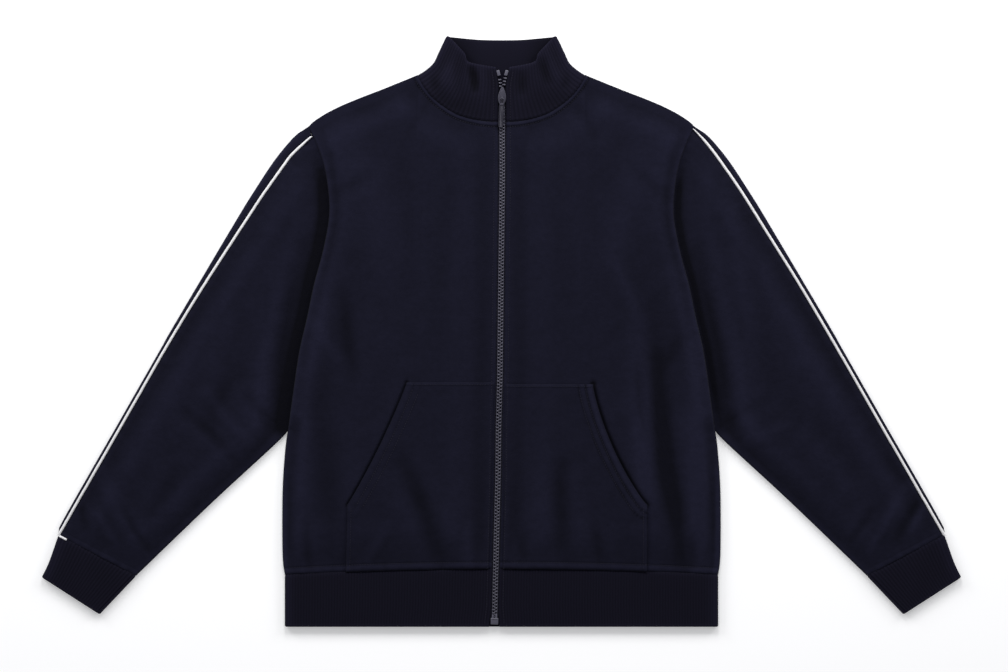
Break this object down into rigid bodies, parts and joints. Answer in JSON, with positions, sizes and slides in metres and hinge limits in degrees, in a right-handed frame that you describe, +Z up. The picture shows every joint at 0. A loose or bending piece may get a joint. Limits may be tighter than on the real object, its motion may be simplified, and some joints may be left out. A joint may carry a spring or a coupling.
{
  "type": "fleece jacket",
  "caption": "Full-zip fleece jacket laid flat and zipped up, with a rib-knit stand collar, cuffs and hem, piped sleeves and front pockets; the zip's pull tab swings.",
  "frame": {"origin": "on the table, under the middle of the jacket's box", "axes": "+X points to the wearer's left sleeve, +Y from the hem to the collar, +Z up from the table through the front"},
  "size_m": [1.1932, 0.7676, 0.0136],
  "materials": {
    "fleece": "dark navy sweatshirt fleece, smooth knit face with a short nap",
    "rib": "dark navy rib knit, doubled",
    "piping": "white woven piping over a cord",
    "tape": "dark navy woven zip tape",
    "zip": "moulded dark grey-blue plastic with a soft sheen"
  },
  "bodies": {
    "jacket": {"back": "fleece", "front_right": "fleece", "front_left": "fleece", "sleeve_front_right": "fleece", "sleeve_front_left": "fleece", "sleeve_back_right": "fleece", "sleeve_back_left": "fleece", "pocket_right": "fleece", "pocket_left": "fleece", "piping_right": "piping", "piping_left": "piping", "hem_band": "rib", "collar": "rib", "cuff_right": "rib", "cuff_left": "rib", "zip_tape_right": "tape", "zip_tape_left": "tape", "zip_chain": "zip", "zip_top_right": "zip", "zip_top_left": "zip", "zip_box": "zip", "slider": "zip"},
    "pull": {"pull_tab": "zip"}
  },
  "joints": [
    {"name": "pull_swing", "type": "hinge", "parent": "jacket", "child": "pull", "pos_m": [0.0006, 0.30224, 0.01115], "axis": [-0.999, 0.0436, 0], "range_deg": [0, 170]}
  ]
}
